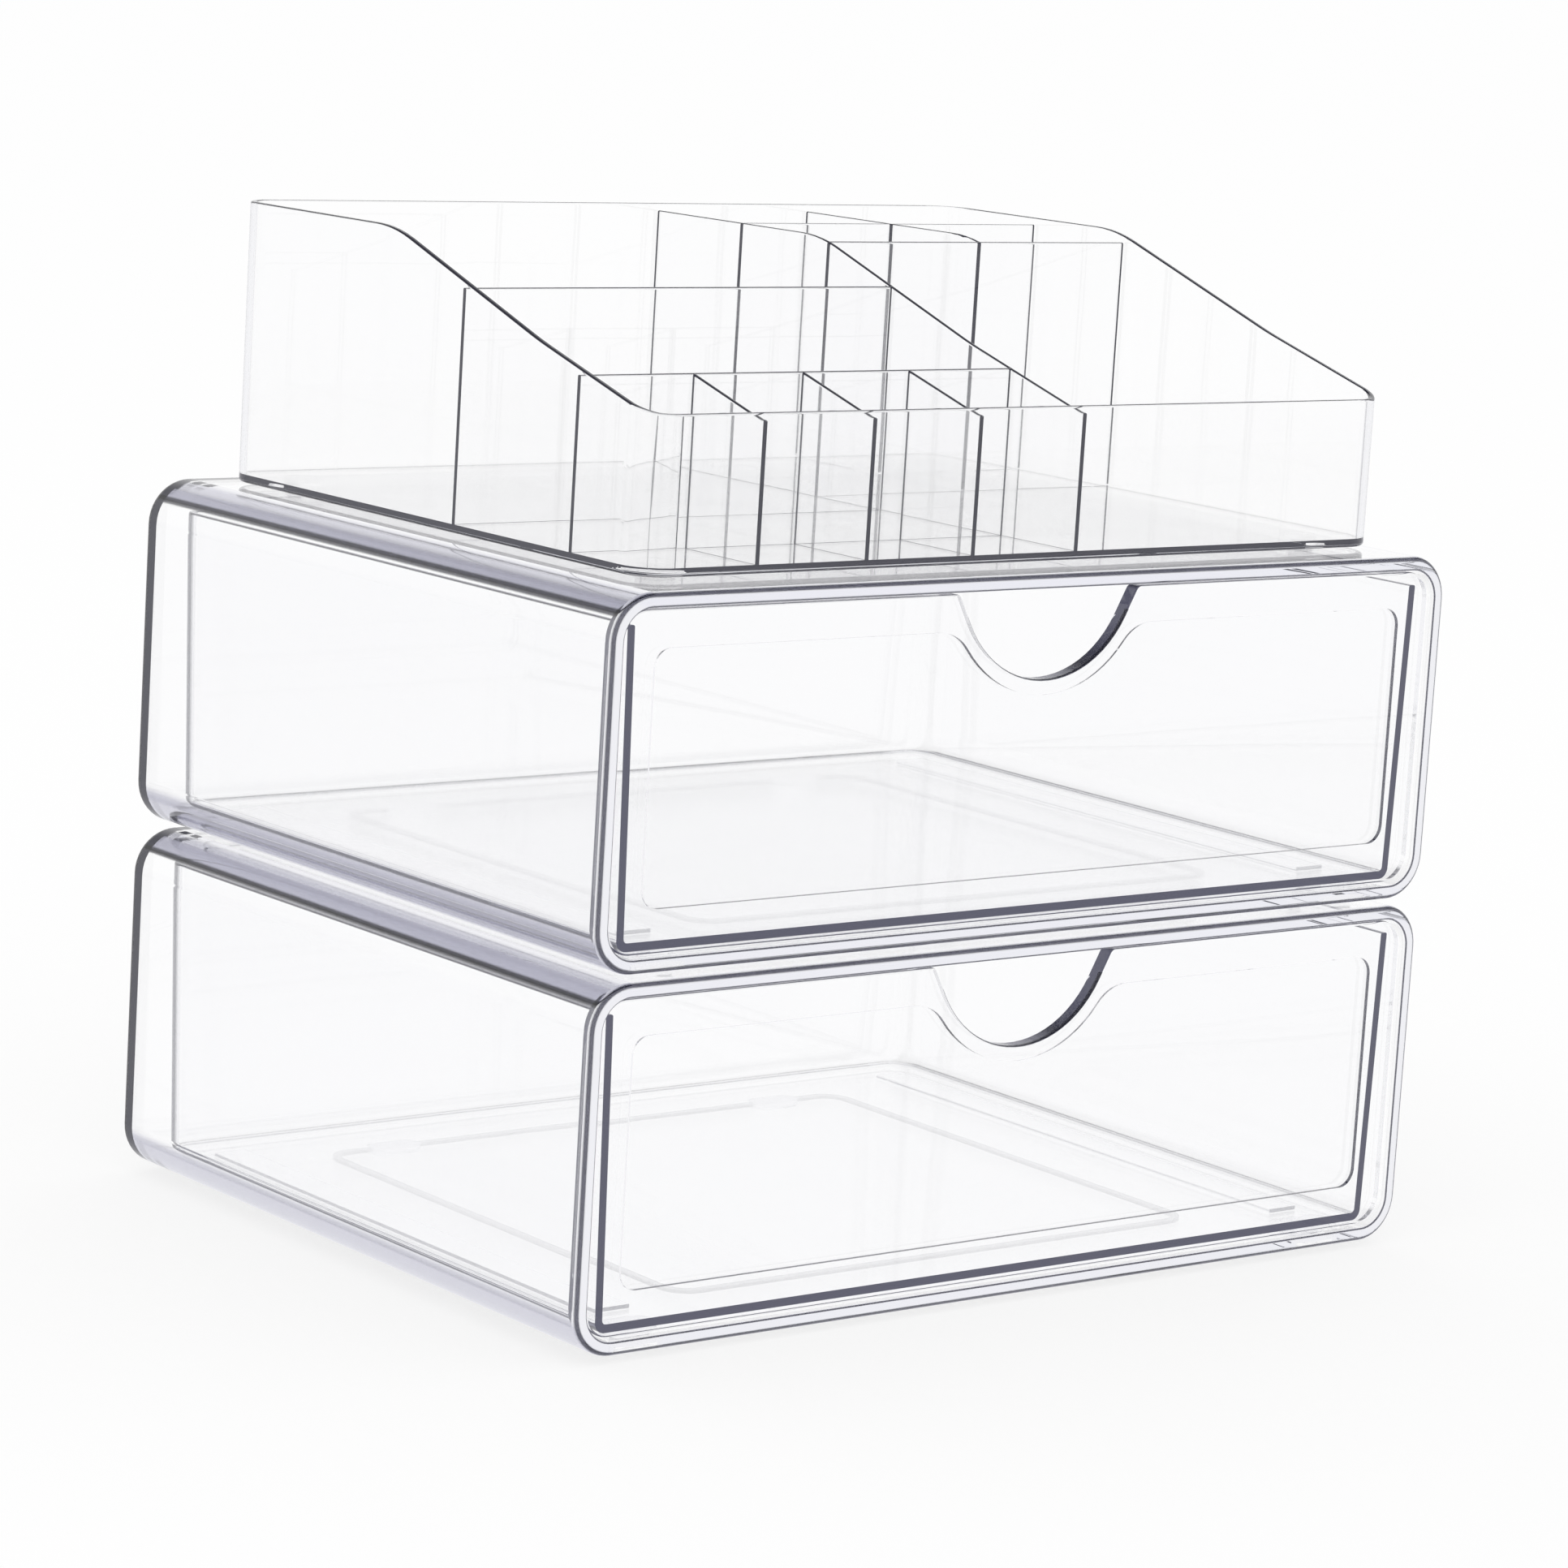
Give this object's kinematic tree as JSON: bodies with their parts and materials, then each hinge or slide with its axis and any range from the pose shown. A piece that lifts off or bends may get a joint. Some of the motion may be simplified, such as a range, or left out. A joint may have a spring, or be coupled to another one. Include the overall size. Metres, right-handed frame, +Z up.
{
  "type": "vanity organizer",
  "caption": "Clear stackable vanity organizer: drawer units with notched pull-out drawers under a lift-off tray with swept sides and divided compartments.",
  "frame": {"origin": "on the table under the middle of the casings, at the undersides of the lower feet", "axes": "+X to the right across the drawer fronts, +Y from the fronts to the back, +Z up"},
  "size_m": [0.28, 0.215, 0.2689],
  "materials": {
    "casing_plastic": "clear moulded styrene plastic, polished, faint cool tint",
    "drawer_plastic": "clear moulded styrene plastic, polished, faint cool tint",
    "tray_plastic": "clear moulded styrene plastic, polished, faint cool tint",
    "soft_feet": "clear soft bumper, slightly hazy"
  },
  "bodies": {
    "lower_unit": {"lower_casing": "casing_plastic", "lower_foot_front_left": "soft_feet", "lower_foot_front_right": "soft_feet", "lower_foot_back_left": "soft_feet", "lower_foot_back_right": "soft_feet"},
    "lower_drawer": {"lower_drawer": "drawer_plastic"},
    "upper_unit": {"upper_casing": "casing_plastic", "upper_foot_front_left": "soft_feet", "upper_foot_front_right": "soft_feet", "upper_foot_back_left": "soft_feet", "upper_foot_back_right": "soft_feet"},
    "upper_drawer": {"upper_drawer": "drawer_plastic"},
    "top_tray": {"top_tray": "tray_plastic"}
  },
  "joints": [
    {"name": "lower_drawer_slide", "type": "slide", "parent": "lower_unit", "child": "lower_drawer", "axis": [0, -1, 0], "range_m": [0, 0.16]},
    {"name": "upper_unit_lift", "type": "slide", "parent": "lower_unit", "child": "upper_unit", "axis": [0, 0, 1], "range_m": [0, 0.1]},
    {"name": "upper_drawer_slide", "type": "slide", "parent": "upper_unit", "child": "upper_drawer", "axis": [0, -1, 0], "range_m": [0, 0.16]},
    {"name": "tray_lift", "type": "slide", "parent": "upper_unit", "child": "top_tray", "axis": [0, 0, 1], "range_m": [0, 0.1]}
  ]
}
